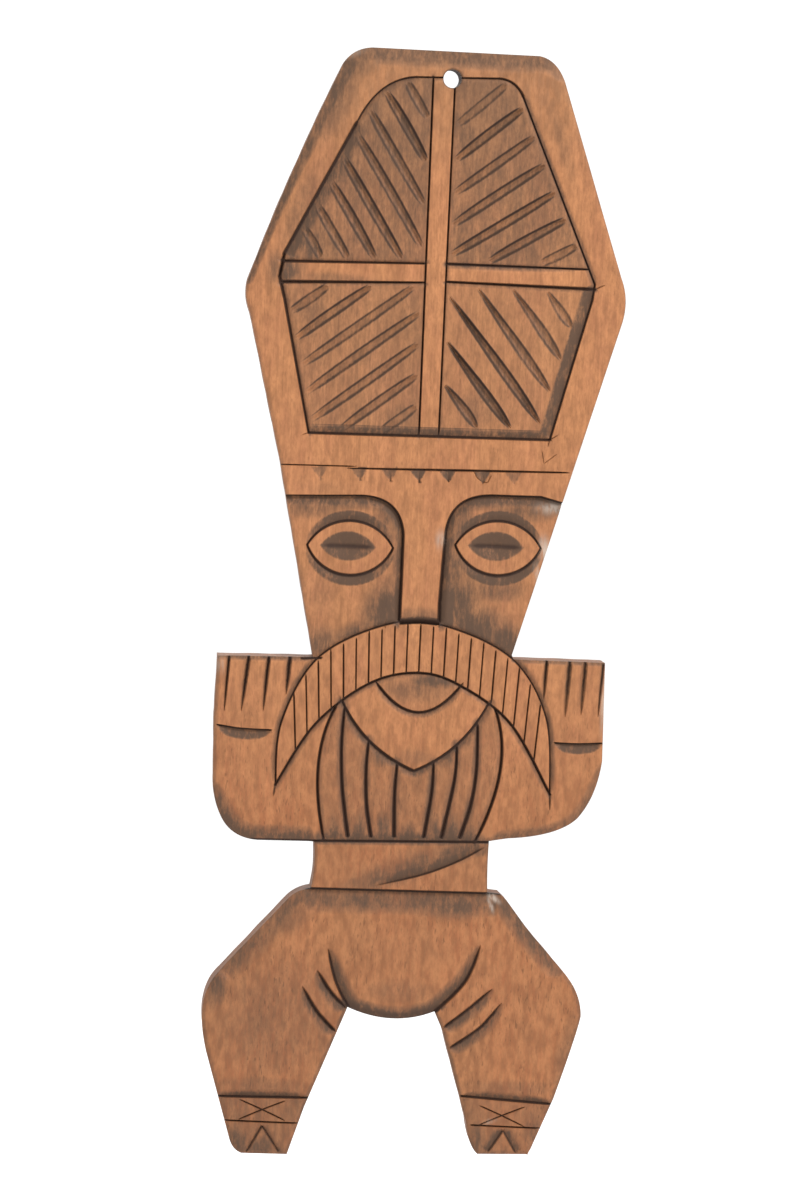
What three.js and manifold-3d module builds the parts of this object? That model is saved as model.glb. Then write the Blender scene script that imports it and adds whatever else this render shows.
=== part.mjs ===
// Carved wall plaque of a moustached man in a tall hat, in millimetres, +Z up.
// A flat core board carries the whole silhouette, and every raised part of the relief stands
// on its front face in a solid of its own, divided along the carver's stop cuts.
// The back lies in the plane y = 0 and the front faces -Y. The origin is where the axis of the
// hanging hole meets the back. "Left" and "right" are those of somebody looking at the front.
import * as THREE from 'three';
import { mergeVertices } from 'three/addons/utils/BufferGeometryUtils.js';
import Module from 'manifold-3d';

const wasm = await Module();
wasm.setup();

// Driving dimensions
const THICKNESS = 15;          // back to the highest face of the relief
const GROUND = 11;             // back to the ground that the relief stands on
const HOLE_RADIUS = 3.3;
const STOP_CUT = 0.8;          // width left between two parts of the relief
const FIELD_MARGIN = 1.8;      // how far the gouge strokes stop from the edges of their field
const CURVE_STEPS = 8;         // straight pieces in each quadratic or spline stretch
const LENS_STEPS = 12;         // straight pieces in each circular arc
const HEM = 90;                // half width of a region that runs off the sides of the board
const OVER = 1;                // how far a cutter stands proud of what it cuts

const FINGER_CUT = { width: 1.6, depth: 1.4 };
const HAIR_CUT = { width: 0.9, depth: 0.8 };
const FOLD_CUT = { width: 1.8, depth: 1.4 };
const STRAP_CUT = { width: 1.0, depth: 0.7 };
const GOUGE_CUT = { width: 2.8, depth: 1.0 };
const PUNCH_CUT = { width: 3.6, depth: 0.9, length: 3 };

const EYE = { halfWidth: 15.5, up: 9.3, down: 10.5 };
const PUPIL = { halfWidth: 10.4, up: 5.7, down: 5.4, depth: 1.5 };
const LEFT_EYE_AT = [-29.3, -168.8];
const RIGHT_EYE_AT = [24.1, -166.8];

const WOOD = { color: 0xc4875a, roughness: 0.62 };
const WOOD_STAINED = { color: 0x9a6b4b, roughness: 0.7 };

// Lines. Every point is [x, z] and a line is an array of Vector2.

const line = (...points) => points.map(([x, z]) => new THREE.Vector2(x, z));

function drawn(start, ...steps) {
  const path = new THREE.Path();
  path.moveTo(...start);
  for (const step of steps) {
    if (step.length === 2) {
      path.lineTo(...step);
    } else {
      path.quadraticCurveTo(...step);
    }
  }
  return path.getPoints(CURVE_STEPS);
}

function flowing(...points) {
  return new THREE.SplineCurve(line(...points)).getPoints(CURVE_STEPS * (points.length - 1) / 2);
}

function withoutRepeats(points) {
  return points.filter((p, i) => p.distanceTo(points[(i + 1) % points.length]) > 1e-3);
}

// Moves a closed outline outward by `by`, or inward when it is negative.
function offset(outline, by) {
  const points = withoutRepeats(outline);
  const turn = THREE.ShapeUtils.area(points) > 0 ? 1 : -1;
  return points.map((point, i) => {
    const before = points[(i + points.length - 1) % points.length];
    const after = points[(i + 1) % points.length];
    const arriving = point.clone().sub(before).normalize();
    const leaving = after.clone().sub(point).normalize();
    const mitre = new THREE.Vector2(arriving.y + leaving.y, -arriving.x - leaving.x);
    const reach = Math.min(2 / Math.max(mitre.lengthSq(), 1e-6), 2);
    return point.clone().addScaledVector(mitre, turn * by * reach);
  });
}

// Solids

function toSolid(geometry) {
  geometry.deleteAttribute('normal');
  geometry.deleteAttribute('uv');
  const merged = mergeVertices(geometry, 1e-4);
  return new wasm.Manifold(new wasm.Mesh({
    numProp: 3,
    vertProperties: merged.attributes.position.array,
    triVerts: Uint32Array.from(merged.index.array),
  }));
}

function toGeometry(solid) {
  const { vertProperties, triVerts } = solid.getMesh();
  const geometry = new THREE.BufferGeometry();
  geometry.setAttribute('position', new THREE.BufferAttribute(vertProperties, 3));
  geometry.setIndex(new THREE.BufferAttribute(triVerts, 1));
  geometry.computeVertexNormals();
  return geometry;
}

// An upright outline given thickness, from `low` to `high` above the back face.
function slab(outline, low, high) {
  const shape = new THREE.Shape(withoutRepeats(outline));
  const geometry = new THREE.ExtrudeGeometry(shape, { depth: high - low, bevelEnabled: false });
  geometry.translate(0, 0, low);
  geometry.rotateX(Math.PI / 2);
  return toSolid(geometry);
}

// What lies inside an outline, or outside it, with half a stop cut taken off along the outline.
const keep = (solid, outline, margin = STOP_CUT / 2) => solid.intersect(
  slab(offset(outline, -margin), -OVER, THICKNESS + OVER));

const drop = (solid, outline, margin = STOP_CUT / 2) => solid.subtract(
  slab(offset(outline, margin), -OVER, THICKNESS + OVER));

// The wedge that a straight V-shaped cut takes out of the front face.
function wedge([x1, z1], [x2, z2], { width, depth }) {
  const along = new THREE.Vector3(x2 - x1, 0, z2 - z1);
  const length = along.length();
  const outward = new THREE.Vector3(0, -1, 0);
  const across = outward.clone().cross(along.clone().normalize());
  const spread = width / 2 * (1 + OVER / depth);
  const section = new THREE.Shape(line([0, -depth], [spread, OVER], [-spread, OVER]));
  const geometry = new THREE.ExtrudeGeometry(section, { depth: length, bevelEnabled: false });
  const place = new THREE.Matrix4().makeBasis(across, outward, along.normalize());
  place.setPosition(x1, -THICKNESS, z1);
  geometry.applyMatrix4(place);
  return toSolid(geometry);
}

const cut = (solid, cuts, size) => cuts.reduce((rest, [a, b]) => rest.subtract(wedge(a, b, size)), solid);

// The silhouette of the whole board, clockwise from the top left of the hat.

const SILHOUETTE = drawn(
  [-39.5, 3], [-36.5, 9.2, -29, 9.8], [31, 9.6], [37.5, 8.5, 40.5, 0.5], [64.2, -68.5],
  [67.4, -76, 65.2, -84.5], [31, -205.8], [31.7, -207.4],
  [65, -207.4], [65.7, -243], [64.6, -256, 57.8, -264.4], [51, -271.3, 33, -272.6], [25.9, -273.8],
  [25.6, -284, 26.2, -292.8], [31, -293.2],
  [33.6, -295.6], [42, -306.3], [55.8, -321.4], [62.3, -328.5, 62.5, -337],
  [61.4, -343.5, 53.9, -367.6], [46.4, -386.5], [45.4, -388.4],
  [27, -388.8], [23.5, -386, 22.3, -377], [12.3, -344], [9, -337],
  [-6, -343.5, -22.8, -336.4], [-37, -373.5], [-42.5, -391],
  [-59, -391], [-62.3, -390, -63.6, -386], [-73.4, -354],
  [-76.6, -342, -74.8, -334], [-73.8, -329.5, -70.5, -325.4], [-46, -297.5], [-43, -294.2, -38, -293.4],
  [-36.5, -284, -37.5, -276.2],
  [-58, -276.4], [-67.5, -276, -71.5, -268.5], [-74.9, -262, -75, -255], [-75.6, -232], [-75.2, -210],
  [-40.8, -209.3], [-55.6, -139.5], [-68.8, -86.5], [-71.5, -80, -70, -74.5], [-57, -36, -39.5, 3],
);

const HAT_BOTTOM = line([-HEM, -140.6], [HEM, -138.6]);
const HAT_PANEL = drawn(
  [-57.5, -65], [-33, -16], [-26, -1.2, -13, 0], [17, 0.8], [22.5, 0.6, 25.5, -5],
  [54.6, -71], [54, -76.5], [41, -127.5], [-46, -128.5], [-56.6, -81], [-58.8, -73],
);
const HAT_BAR = line([-6.9, HEM], [0.9, HEM], [0.8, -139], [-6.3, -139]);
const CROSS_BAR_TOP = line([-HEM, -68.2], [-6.9, -66.2], [0.9, -66], [HEM, -65.7]);
const CROSS_BAR_BOTTOM = line([-HEM, -76], [-6.9, -73], [0.9, -72.4], [HEM, -72.8]);

const BROW_LEFT = drawn([-HEM, -152.5], [-26, -150.3], [-11.5, -150.3, -10.3, -164], [-10.3, -205]);
const BROW_RIGHT = drawn(
  [HEM, -153], [46, -150], [38.8, -148.2], [21, -148.4], [5.5, -149, 5, -164], [4, -188], [4.2, -205],
);
const MOUSTACHE_TOP = flowing(
  [-52.5, -256], [-51.3, -233], [-39.1, -209.4], [-15, -196.5], [5.5, -196], [31, -207], [44.5, -228],
  [47.2, -256],
);
const MOUSTACHE_BOTTOM = flowing(
  [47.2, -256], [31.8, -231], [13.5, -218], [-2, -213.6], [-20, -218], [-39, -233.5], [-52.5, -256],
);
const MOUSTACHE = [...MOUSTACHE_TOP, ...MOUSTACHE_BOTTOM];
const LIP = drawn([-20, -214], [-1.5, -241, 15.5, -214], [15.5, -205], [-20, -205]);
const CHIN = drawn(
  [-29, -223], [-21, -242, -2.6, -249.3], [14.5, -242, 22.8, -222.5], [22.8, -210], [-29, -210],
);
const BEARD_LEFT = drawn([-31, -220], [-42, -244, -33.5, -274], [-33, -HEM * 4]);
const BEARD_RIGHT = drawn([25, -218], [35.5, -243, 20.5, -271], [19.5, -HEM * 4]);

const WAIST = line(
  [-HEM, -279], [-38.6, -279], [-38.3, -275.3], [25.9, -274.2], [26.3, -279], [HEM, -279],
);
const SASH_BOTTOM = line([-HEM, -293.8], [HEM, -292.6]);
const SHOE_TOP_LEFT = line([-HEM, -370.2], [-15, -369.8]);
const SHOE_TOP_RIGHT = line([-5, -366.6], [HEM, -370.4]);

const backwards = (points) => [...points].reverse();

// The area between two lines that both run from left to right, the upper one first.
const between = (upper, lower) => [...upper, ...backwards(lower)];

const LEFT_HALF = line([-HEM, -HEM * 5], [-3, -HEM * 5], [-3, HEM], [-HEM, HEM]);
const RIGHT_HALF = line([-3, -HEM * 5], [HEM, -HEM * 5], [HEM, HEM], [-3, HEM]);
const ABOVE_CROSS = between(line([-HEM, HEM], [HEM, HEM]), CROSS_BAR_TOP);
const BELOW_CROSS = between(CROSS_BAR_BOTTOM, line([-HEM, -135], [HEM, -135]));

const SHOE_LEFT = between(SHOE_TOP_LEFT, line([-HEM, -400], [-15, -400]));
const SHOE_RIGHT = between(SHOE_TOP_RIGHT, line([-5, -400], [HEM, -400]));

// A circular arc between two points; a positive `rise` bows it to the left of the way along.
function arc([x1, z1], [x2, z2], rise) {
  const start = new THREE.Vector2(x1, z1);
  const half = new THREE.Vector2(x2, z2).sub(start).multiplyScalar(0.5);
  const side = new THREE.Vector2(-half.y, half.x).normalize();
  const radius = (half.lengthSq() + rise * rise) / (2 * rise);
  const centre = start.clone().add(half).addScaledVector(side, rise - radius);
  const turn = -2 * Math.atan2(2 * rise * half.length(), half.lengthSq() - rise * rise);
  return Array.from({ length: LENS_STEPS + 1 }, (_, i) => (
    start.clone().rotateAround(centre, turn * i / LENS_STEPS)));
}

function lens([cx, cz], { halfWidth, up, down }) {
  const left = [cx - halfWidth, cz];
  const right = [cx + halfWidth, cz];
  return [...arc(left, right, up), ...arc(right, left, down)];
}

// Parts of the relief

const relief = slab(SILHOUETTE, GROUND, THICKNESS);
const hole = toSolid(new THREE.CylinderGeometry(HOLE_RADIUS, HOLE_RADIUS, THICKNESS * 3, 32));

const plaque = new THREE.Group();

function add(name, solid, { color, roughness } = WOOD) {
  const material = new THREE.MeshStandardMaterial({ color, roughness, metalness: 0 });
  const mesh = new THREE.Mesh(toGeometry(solid), material);
  mesh.name = name;
  plaque.add(mesh);
}

function coreBoard() {
  return slab(SILHOUETTE, 0, GROUND).subtract(hole);
}

function hatBorder() {
  const hat = keep(relief, between(line([-HEM, HEM], [HEM, HEM]), HAT_BOTTOM));
  return drop(hat, HAT_PANEL).subtract(hole);
}

const hatPanel = keep(relief, HAT_PANEL).subtract(hole);

function hatUprightBar() {
  return keep(hatPanel, HAT_BAR);
}

function hatCrossBars() {
  const bar = drop(keep(hatPanel, between(CROSS_BAR_TOP, CROSS_BAR_BOTTOM)), HAT_BAR);
  return [keep(bar, LEFT_HALF), keep(bar, RIGHT_HALF)];
}

// One quarter of the hat's panel, with parallel strokes of the gouge that stop short of its edges.
// `start` is a point on the first stroke, and the others follow it at `pitch`.
function hatField(half, side, start, angle, pitch, count) {
  const quarter = (solid, margin) => (
    keep(drop(keep(keep(solid, HAT_PANEL, margin), side, margin), HAT_BAR, margin), half, 0));
  const along = new THREE.Vector2(Math.cos(angle), Math.sin(angle)).multiplyScalar(HEM);
  const across = new THREE.Vector2(Math.sin(angle), -Math.cos(angle)).multiplyScalar(pitch);
  let field = quarter(relief, STOP_CUT / 2).subtract(hole);
  for (let i = 0; i < count; i += 1) {
    const middle = new THREE.Vector2(...start).addScaledVector(across, i);
    const from = middle.clone().sub(along).toArray();
    const to = middle.clone().add(along).toArray();
    field = field.subtract(quarter(wedge(from, to, GOUGE_CUT), FIELD_MARGIN));
  }
  return field;
}

function foreheadAndNose() {
  const face = between(HAT_BOTTOM, [...BROW_LEFT, ...backwards(BROW_RIGHT)]);
  let forehead = drop(keep(relief, face), MOUSTACHE);
  for (const x of [-42, -27.6, -16.5, -6.4, 4.1, 17.1, 28.7]) {
    const z = -142.6;
    forehead = cut(forehead, [[[x, z + PUNCH_CUT.length / 2], [x, z - PUNCH_CUT.length / 2]]], PUNCH_CUT);
  }
  return forehead;
}

function cheek(brow, side, armTop, eyeAt) {
  const end = brow[brow.length - 1];
  const area = [...brow.slice(0, -1), ...line([end.x, armTop], [side * HEM, armTop])];
  return drop(drop(keep(relief, area), MOUSTACHE), lens(eyeAt, EYE));
}

function eye([x, z]) {
  const pupil = slab(lens([x - 0.8, z], PUPIL), THICKNESS - PUPIL.depth, THICKNESS + OVER);
  return keep(relief, lens([x, z], EYE)).subtract(pupil);
}

function moustache() {
  const hairs = [];
  for (let i = 0; i < 21; i += 1) {
    const t = i / 20 - 0.5;
    hairs.push([[-2.5 + t * 94, -190], [-2.5 + t * 84, -262]]);
  }
  return cut(keep(relief, MOUSTACHE), hairs, HAIR_CUT);
}

function beard() {
  const area = [...BEARD_LEFT, ...backwards(BEARD_RIGHT)];
  const whole = keep(keep(relief, area), between(line([-HEM, -200], [HEM, -200]), WAIST));
  const locks = [
    [[-27, -226], [-28.5, -250]], [[-28.5, -250], [-25.2, -276]],
    [[-18.9, -238], [-19.7, -256]], [[-19.7, -256], [-17, -276]],
    [[-8.6, -245], [-8.8, -276]],
    [[4.3, -244], [2.4, -276]],
    [[12.5, -238], [11, -259]], [[11, -259], [8.6, -276]],
    [[20, -225], [19.8, -255]], [[19.8, -255], [15.5, -276]],
  ];
  return cut(drop(drop(whole, MOUSTACHE), CHIN), locks, HAIR_CUT);
}

function arm(beardEdge, side, top, fingers, wrist) {
  const area = [...beardEdge, ...line([side * HEM, -HEM * 4], [side * HEM, top], [beardEdge[0].x, top])];
  const block = drop(keep(relief, area), MOUSTACHE);
  const sleeve = keep(block, between(line([-HEM, -200], [HEM, -200]), WAIST));
  return cut(cut(sleeve, fingers, FINGER_CUT), [wrist], FOLD_CUT);
}

function sash() {
  const band = keep(relief, between(WAIST, SASH_BOTTOM));
  return cut(band, [[[-18, -293], [27, -275]]], FOLD_CUT);
}

function trousers() {
  const legs = keep(relief, between(SASH_BOTTOM, line([-HEM, -400], [HEM, -400])));
  const shod = drop(drop(legs, SHOE_LEFT), SHOE_RIGHT);
  const folds = [
    [[-31, -314], [-28, -325]], [[-28, -325], [-21.5, -338]],
    [[25, -311], [20.5, -324]], [[20.5, -324], [8, -338.5]],
    [[-34.5, -323], [-22.5, -338]], [[-39.7, -329], [-25, -346]],
    [[29.8, -327.5], [11.5, -343.5]], [[33.3, -332.8], [14, -351]],
  ];
  return cut(shod, folds, FOLD_CUT);
}

// A crossed strap over the instep and a toe cap drawn as a triangle.
function shoe(area, crossAt, top, bottom) {
  const x = crossAt;
  const straps = [
    [[x - 14, bottom], [x + 14, bottom]],
    [[x - 8.5, top - 1], [x + 8.5, bottom]],
    [[x - 8.5, bottom], [x + 8.5, top - 1]],
    [[x, bottom - 2], [x - 5.8, -392]],
    [[x, bottom - 2], [x + 5.8, -392]],
  ];
  return cut(keep(relief, area), straps, STRAP_CUT);
}

const degrees = THREE.MathUtils.degToRad;

add('core_board', coreBoard());
add('hat_border', hatBorder());
add('hat_upright_bar', hatUprightBar());
const [crossBarLeft, crossBarRight] = hatCrossBars();
add('hat_cross_bar_left', crossBarLeft);
add('hat_cross_bar_right', crossBarRight);
add('hat_field_upper_left',
  hatField(LEFT_HALF, ABOVE_CROSS, [-12, -8.4], degrees(-57.5), 8.3, 8), WOOD_STAINED);
add('hat_field_upper_right',
  hatField(RIGHT_HALF, ABOVE_CROSS, [10.5, -9], degrees(35), 10.1, 7), WOOD_STAINED);
add('hat_field_lower_left',
  hatField(LEFT_HALF, BELOW_CROSS, [-47.8, -80.5], degrees(39), 8.95, 7), WOOD_STAINED);
add('hat_field_lower_right',
  hatField(RIGHT_HALF, BELOW_CROSS, [44.3, -80.7], degrees(-51.5), 10.55, 6), WOOD_STAINED);
add('forehead_and_nose', foreheadAndNose());
add('cheek_left', cheek(BROW_LEFT, -1, -209.5, LEFT_EYE_AT), WOOD_STAINED);
add('cheek_right', cheek(BROW_RIGHT, 1, -206.6, RIGHT_EYE_AT), WOOD_STAINED);
add('eye_left', eye(LEFT_EYE_AT));
add('eye_right', eye(RIGHT_EYE_AT));
add('moustache', moustache());
add('lower_lip', drop(keep(relief, LIP), MOUSTACHE));
add('chin', drop(drop(keep(relief, CHIN), MOUSTACHE), LIP));
add('beard', beard());
add('arm_left', arm(BEARD_LEFT, -1, -209.5,
  [-71.3, -64.3, -57, -49.4].map((x) => [[x, -205], [x - 1.4, -229]]), [[-74.8, -235.3], [-54, -236.5]]));
add('arm_right', arm(BEARD_RIGHT, 1, -206.6,
  [43.9, 52.2, 58].map((x) => [[x, -202], [x - 0.8, -227]]), [[48, -237.3], [66, -236.8]]));
add('sash', sash());
add('trousers', trousers());
add('shoe_left', shoe(SHOE_LEFT, -52, -370, -379));
add('shoe_right', shoe(SHOE_RIGHT, 35.3, -368.5, -378.3));

export default plaque;
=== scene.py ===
"""Looks of the carved wall plaque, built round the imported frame.

Every relief part of the frame is cut here in full: the V cuts, the slopes beside them, the gouge
strokes, the chipped eyes and the bevelled rims are real surface, worked out in millimetres on the
plane of the front (x to the right, z up) and then given their depth below the highest face.
"""

import math

import bpy
import numpy as np
from mathutils import Matrix, Vector
from mathutils.geometry import delaunay_2d_cdt


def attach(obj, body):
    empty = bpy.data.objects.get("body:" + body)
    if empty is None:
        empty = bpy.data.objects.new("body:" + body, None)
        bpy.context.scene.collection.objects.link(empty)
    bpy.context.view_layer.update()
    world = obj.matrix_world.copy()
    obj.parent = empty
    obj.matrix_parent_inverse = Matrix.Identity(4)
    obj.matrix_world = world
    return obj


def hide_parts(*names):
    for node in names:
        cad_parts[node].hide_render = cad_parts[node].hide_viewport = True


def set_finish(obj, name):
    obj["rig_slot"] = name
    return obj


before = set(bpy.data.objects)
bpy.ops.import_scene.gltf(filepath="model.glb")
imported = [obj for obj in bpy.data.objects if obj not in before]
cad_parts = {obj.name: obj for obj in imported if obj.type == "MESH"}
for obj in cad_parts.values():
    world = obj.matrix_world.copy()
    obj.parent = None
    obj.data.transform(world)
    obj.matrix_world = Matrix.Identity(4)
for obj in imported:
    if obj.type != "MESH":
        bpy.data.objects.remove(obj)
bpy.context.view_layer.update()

MM = 0.001
THICKNESS = 15.0
GROUND = 11.0
HOLE_RADIUS = 3.3
SANDED = 0.16  # how far the highest faces lie below the front of the CAD solids
GRID = 0.55
LINE_STEP = 0.6
STEEP_SIDE = 0.28  # how far the upright side of a slope leans out
SHALLOW = 0.6  # a slope less deep than this has no rim on its upright side
NARROWEST = 0.2  # a rim nearer to the path than this is left out
SAME_LINE = 0.02  # a line this near to others adds nothing to the mesh
SIDE_STAIN = 0.35
FEWEST_POINTS = 12  # a stroke or hair with fewer is too short to cut
BOARD_STEP = 1.2
PUPIL_FALL = 0.34  # how fast a pupil sinks away from its outline
SMOOTH_UNDER = math.radians(32)
RIM_SHADE = 0.8
LEFT, RIGHT, BOTH = 1, -1, 0

# ---------------------------------------------------------------- lines


def drawn(start, *steps):
    """Straight for a step of two numbers, a quadratic curve (control, end) for one of four."""
    points = [np.array(start, float)]
    for step in steps:
        if len(step) == 2:
            points.append(np.array(step, float))
            continue
        a, control, b = points[-1], np.array(step[:2], float), np.array(step[2:], float)
        for t in np.linspace(0, 1, 17)[1:]:
            points.append(a * (1 - t) ** 2 + control * 2 * t * (1 - t) + b * t * t)
    return np.array(points)


def flowing(*points):
    """A smooth curve through every point."""
    p = np.array(points, float)
    padded = np.vstack([p[:1], p, p[-1:]])
    made = []
    for i in range(len(p) - 1):
        before, a, b, after = padded[i : i + 4]
        leave, arrive = (b - before) / 2, (after - a) / 2
        for t in np.linspace(0, 1, 12, endpoint=False):
            made.append(
                (2 * a - 2 * b + leave + arrive) * t**3
                + (3 * b - 3 * a - 2 * leave - arrive) * t * t
                + leave * t
                + a
            )
    return np.array([*made, p[-1]])


def arc(a, b, rise):
    """A circular arc; a positive rise bows it to the left of the way from a to b."""
    a, b = np.array(a, float), np.array(b, float)
    half = (b - a) / 2
    length = np.hypot(*half)
    side = np.array([-half[1], half[0]]) / length
    radius = (length**2 + rise**2) / (2 * rise)
    centre = a + half + side * (rise - radius)
    turn = -2 * math.atan2(2 * rise * length, length**2 - rise**2)
    angles = np.linspace(0, turn, 33)
    x, z = a - centre
    return np.stack(
        [
            centre[0] + x * np.cos(angles) - z * np.sin(angles),
            centre[1] + x * np.sin(angles) + z * np.cos(angles),
        ],
        1,
    )


def resampled(path, step):
    """The same line with its points `step` apart, its corners kept."""
    made = [path[0]]
    for a, b in zip(path[:-1], path[1:]):
        count = max(1, round(np.hypot(*(b - a)) / step))
        made += [a + (b - a) * (i + 1) / count for i in range(count)]
    return np.array(made)


def evenly(path, step):
    """The same line with its points about `step` apart, its small steps run together."""
    lengths = np.r_[0, np.cumsum(np.hypot(*np.diff(path, axis=0).T))]
    count = max(2, round(lengths[-1] / step) + 1)
    at = np.linspace(0, lengths[-1], count)
    return np.stack([np.interp(at, lengths, path[:, k]) for k in (0, 1)], 1)


def closed(path):
    return np.vstack([path, path[:1]])


def joined(*lines):
    """One closed outline, in which each line starts where the one before ends."""
    return np.vstack([line[:-1] for line in lines])


def inside(outline, points):
    """Which points lie inside a closed outline."""
    x, z = points.T
    odd = np.zeros(len(points), bool)
    for (x1, z1), (x2, z2) in zip(outline, np.roll(outline, -1, 0)):
        if z1 != z2:
            crosses = (z1 > z) != (z2 > z)
            odd ^= crosses & (x < (x2 - x1) * (z - z1) / (z2 - z1) + x1)
    return odd


# The outline of the board, clockwise from the left of the hat's top
HAT_TOP = drawn([-39.5, 3], [-36.5, 9.2, -29, 9.8], [31, 9.6], [37.5, 8.5, 40.5, 0.5])
HAT_RIGHT = drawn([40.5, 0.5], [64.2, -68.5], [67.4, -76, 65.2, -84.5], [31, -205.8])
HAT_LEFT = drawn([-40.8, -209.3], [-55.6, -139.5], [-68.8, -86.5], [-71.5, -80, -70, -74.5])
HAT_SHOULDER = drawn([-70, -74.5], [-57, -36, -39.5, 3])
SLEEVE_RIGHT = drawn(
    [65.7, -243], [64.6, -256, 57.8, -264.4], [51, -271.3, 33, -272.6], [25.9, -273.8],
)
ARM_RIGHT = np.vstack([[[31.7, -207.4], [65, -207.4]], SLEEVE_RIGHT])
WAIST_RIGHT = drawn([25.9, -273.8], [25.6, -284, 26.2, -292.8], [31, -293.2])
HIP_RIGHT = drawn([31, -293.2], [33.6, -295.6], [42, -306.3], [55.8, -321.4])
LEG_RIGHT = drawn(
    [55.8, -321.4], [62.3, -328.5, 62.5, -337], [61.4, -343.5, 53.9, -367.6],
    [46.4, -386.5], [45.4, -388.4], [27, -388.8],
)
INSIDE_RIGHT = drawn([27, -388.8], [23.5, -386, 22.3, -377], [12.3, -344], [9, -337])
CROTCH = drawn([9, -337], [-6, -343.5, -22.8, -336.4])
INSIDE_LEFT = drawn([-22.8, -336.4], [-37, -373.5], [-42.5, -391])
LEG_LEFT = drawn(
    [-42.5, -391], [-59, -391], [-62.3, -390, -63.6, -386], [-73.4, -354],
    [-76.6, -342, -74.8, -334], [-73.8, -329.5, -70.5, -325.4],
)
HIP_LEFT = drawn([-70.5, -325.4], [-46, -297.5], [-43, -294.2, -38, -293.4])
WAIST_LEFT = drawn([-38, -293.4], [-36.5, -284, -37.5, -276.2])
SLEEVE_LEFT = drawn(
    [-37.5, -276.2], [-58, -276.4], [-67.5, -276, -71.5, -268.5], [-74.9, -262, -75, -255],
)
ARM_LEFT = np.vstack([SLEEVE_LEFT, [[-75.6, -232], [-75.2, -210], [-40.8, -209.3]]])
SILHOUETTE = joined(
    HAT_TOP, HAT_RIGHT, drawn([31, -205.8], [31.7, -207.4]), ARM_RIGHT, WAIST_RIGHT, HIP_RIGHT,
    LEG_RIGHT, INSIDE_RIGHT, CROTCH, INSIDE_LEFT, LEG_LEFT, HIP_LEFT, WAIST_LEFT, ARM_LEFT,
    HAT_LEFT, HAT_SHOULDER,
)

# The hat's panel, its bars and the line under the hat
PANEL_LEFT_TOP = drawn([-57.5, -65], [-33, -16])
PANEL_CORNER = drawn([-33, -16], [-26, -1.2, -13, 0])
PANEL_TOP = drawn([-13, 0], [17, 0.8], [22.5, 0.6, 25.5, -5])
PANEL_RIGHT_TOP = drawn([25.5, -5], [54.6, -71])
PANEL_RIGHT_LOW = drawn([54.6, -71], [54, -76.5], [41, -127.5])
PANEL_BOTTOM = drawn([41, -127.5], [-46, -128.5])
PANEL_LEFT_LOW = drawn([-46, -128.5], [-56.6, -81], [-58.8, -73])
PANEL_CLOSE = drawn([-58.8, -73], [-57.5, -65])
PANEL = joined(
    PANEL_LEFT_TOP, PANEL_CORNER, PANEL_TOP, PANEL_RIGHT_TOP, PANEL_RIGHT_LOW, PANEL_BOTTOM,
    PANEL_LEFT_LOW, PANEL_CLOSE,
)
BAR_LEFT = drawn([-6.9, 0.3], [-6.3, -128.2])
BAR_RIGHT = drawn([0.9, 0.4], [0.8, -128.1])
CROSS_TOP = drawn([-58.2, -67.5], [-6.8, -66.2], [0.9, -66], [52.2, -65.7])
CROSS_BOTTOM = drawn([-58.4, -75], [-6.7, -73], [0.9, -72.4], [54.6, -72.8])
HAT_BOTTOM = drawn([-90, -140.6], [90, -138.6])

# The lines that part the face, the beard and the clothes
BROW_LEFT = drawn([-60, -151.5], [-26, -150.3], [-11.5, -150.3, -10.3, -164], [-10.3, -194.5])
BROW_RIGHT = drawn(
    [56, -151.4], [46, -150], [38.8, -148.2], [21, -148.4], [5.5, -149, 5, -164],
    [4, -188], [4.1, -194.6],
)
NOSE_FOOT = (drawn([-10.3, -194.5], [-10.3, -196.2]), drawn([4.1, -194.6], [4.1, -196.2]))
MOUSTACHE_TOP = flowing(
    [-52.5, -256], [-51.3, -233], [-39.1, -209.4], [-15, -196.5], [5.5, -196], [31, -207],
    [44.5, -228], [47.2, -256],
)
MOUSTACHE_BOTTOM = flowing(
    [47.2, -256], [31.8, -231], [13.5, -218], [-2, -213.6], [-20, -218], [-39, -233.5],
    [-52.5, -256],
)
MOUSTACHE = joined(MOUSTACHE_TOP, MOUSTACHE_BOTTOM)
LIP_LINE = drawn([-18.5, -216.5], [-1.9, -239.5, 14, -216.3])
LIP = np.vstack([LIP_LINE, [[15.5, -205], [-20, -205]]])
CHIN_LINE = drawn([-29.5, -225], [-21, -242, -2.6, -249.3], [14.5, -242, 23.3, -224])
CHIN = np.vstack([CHIN_LINE, [[22.8, -210], [-29, -210]]])
BEARD_LEFT = drawn([-32, -227], [-41.5, -246, -34.2, -275])
BEARD_RIGHT = drawn([26, -226], [34, -246, 20.6, -274.5])
BEARD = np.vstack([BEARD_LEFT, BEARD_RIGHT[::-1]])
HEM = drawn([-60, -276.2], [-37.5, -275.9], [25.9, -274.2], [40, -274.2])
SASH_BOTTOM = drawn([-60, -293.5], [50, -292.9])
ARM_TOPS = (drawn([-80, -209.2], [-30, -209.2]), drawn([20, -206.9], [70, -206.9]))
SHOE_LEFT_TOP = drawn([-80, -370.4], [-69.5, -370.3], [-35.8, -369.9], [-20, -369.7])
SHOE_RIGHT_TOP = drawn([5, -366.7], [20.2, -367.6], [54, -369.6], [70, -370.5])


def lens(centre, half_width, up, down):
    """The upper and the lower arc of an almond shape."""
    left, right = [centre[0] - half_width, centre[1]], [centre[0] + half_width, centre[1]]
    return arc(left, right, up), arc(right, left, down)


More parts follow.
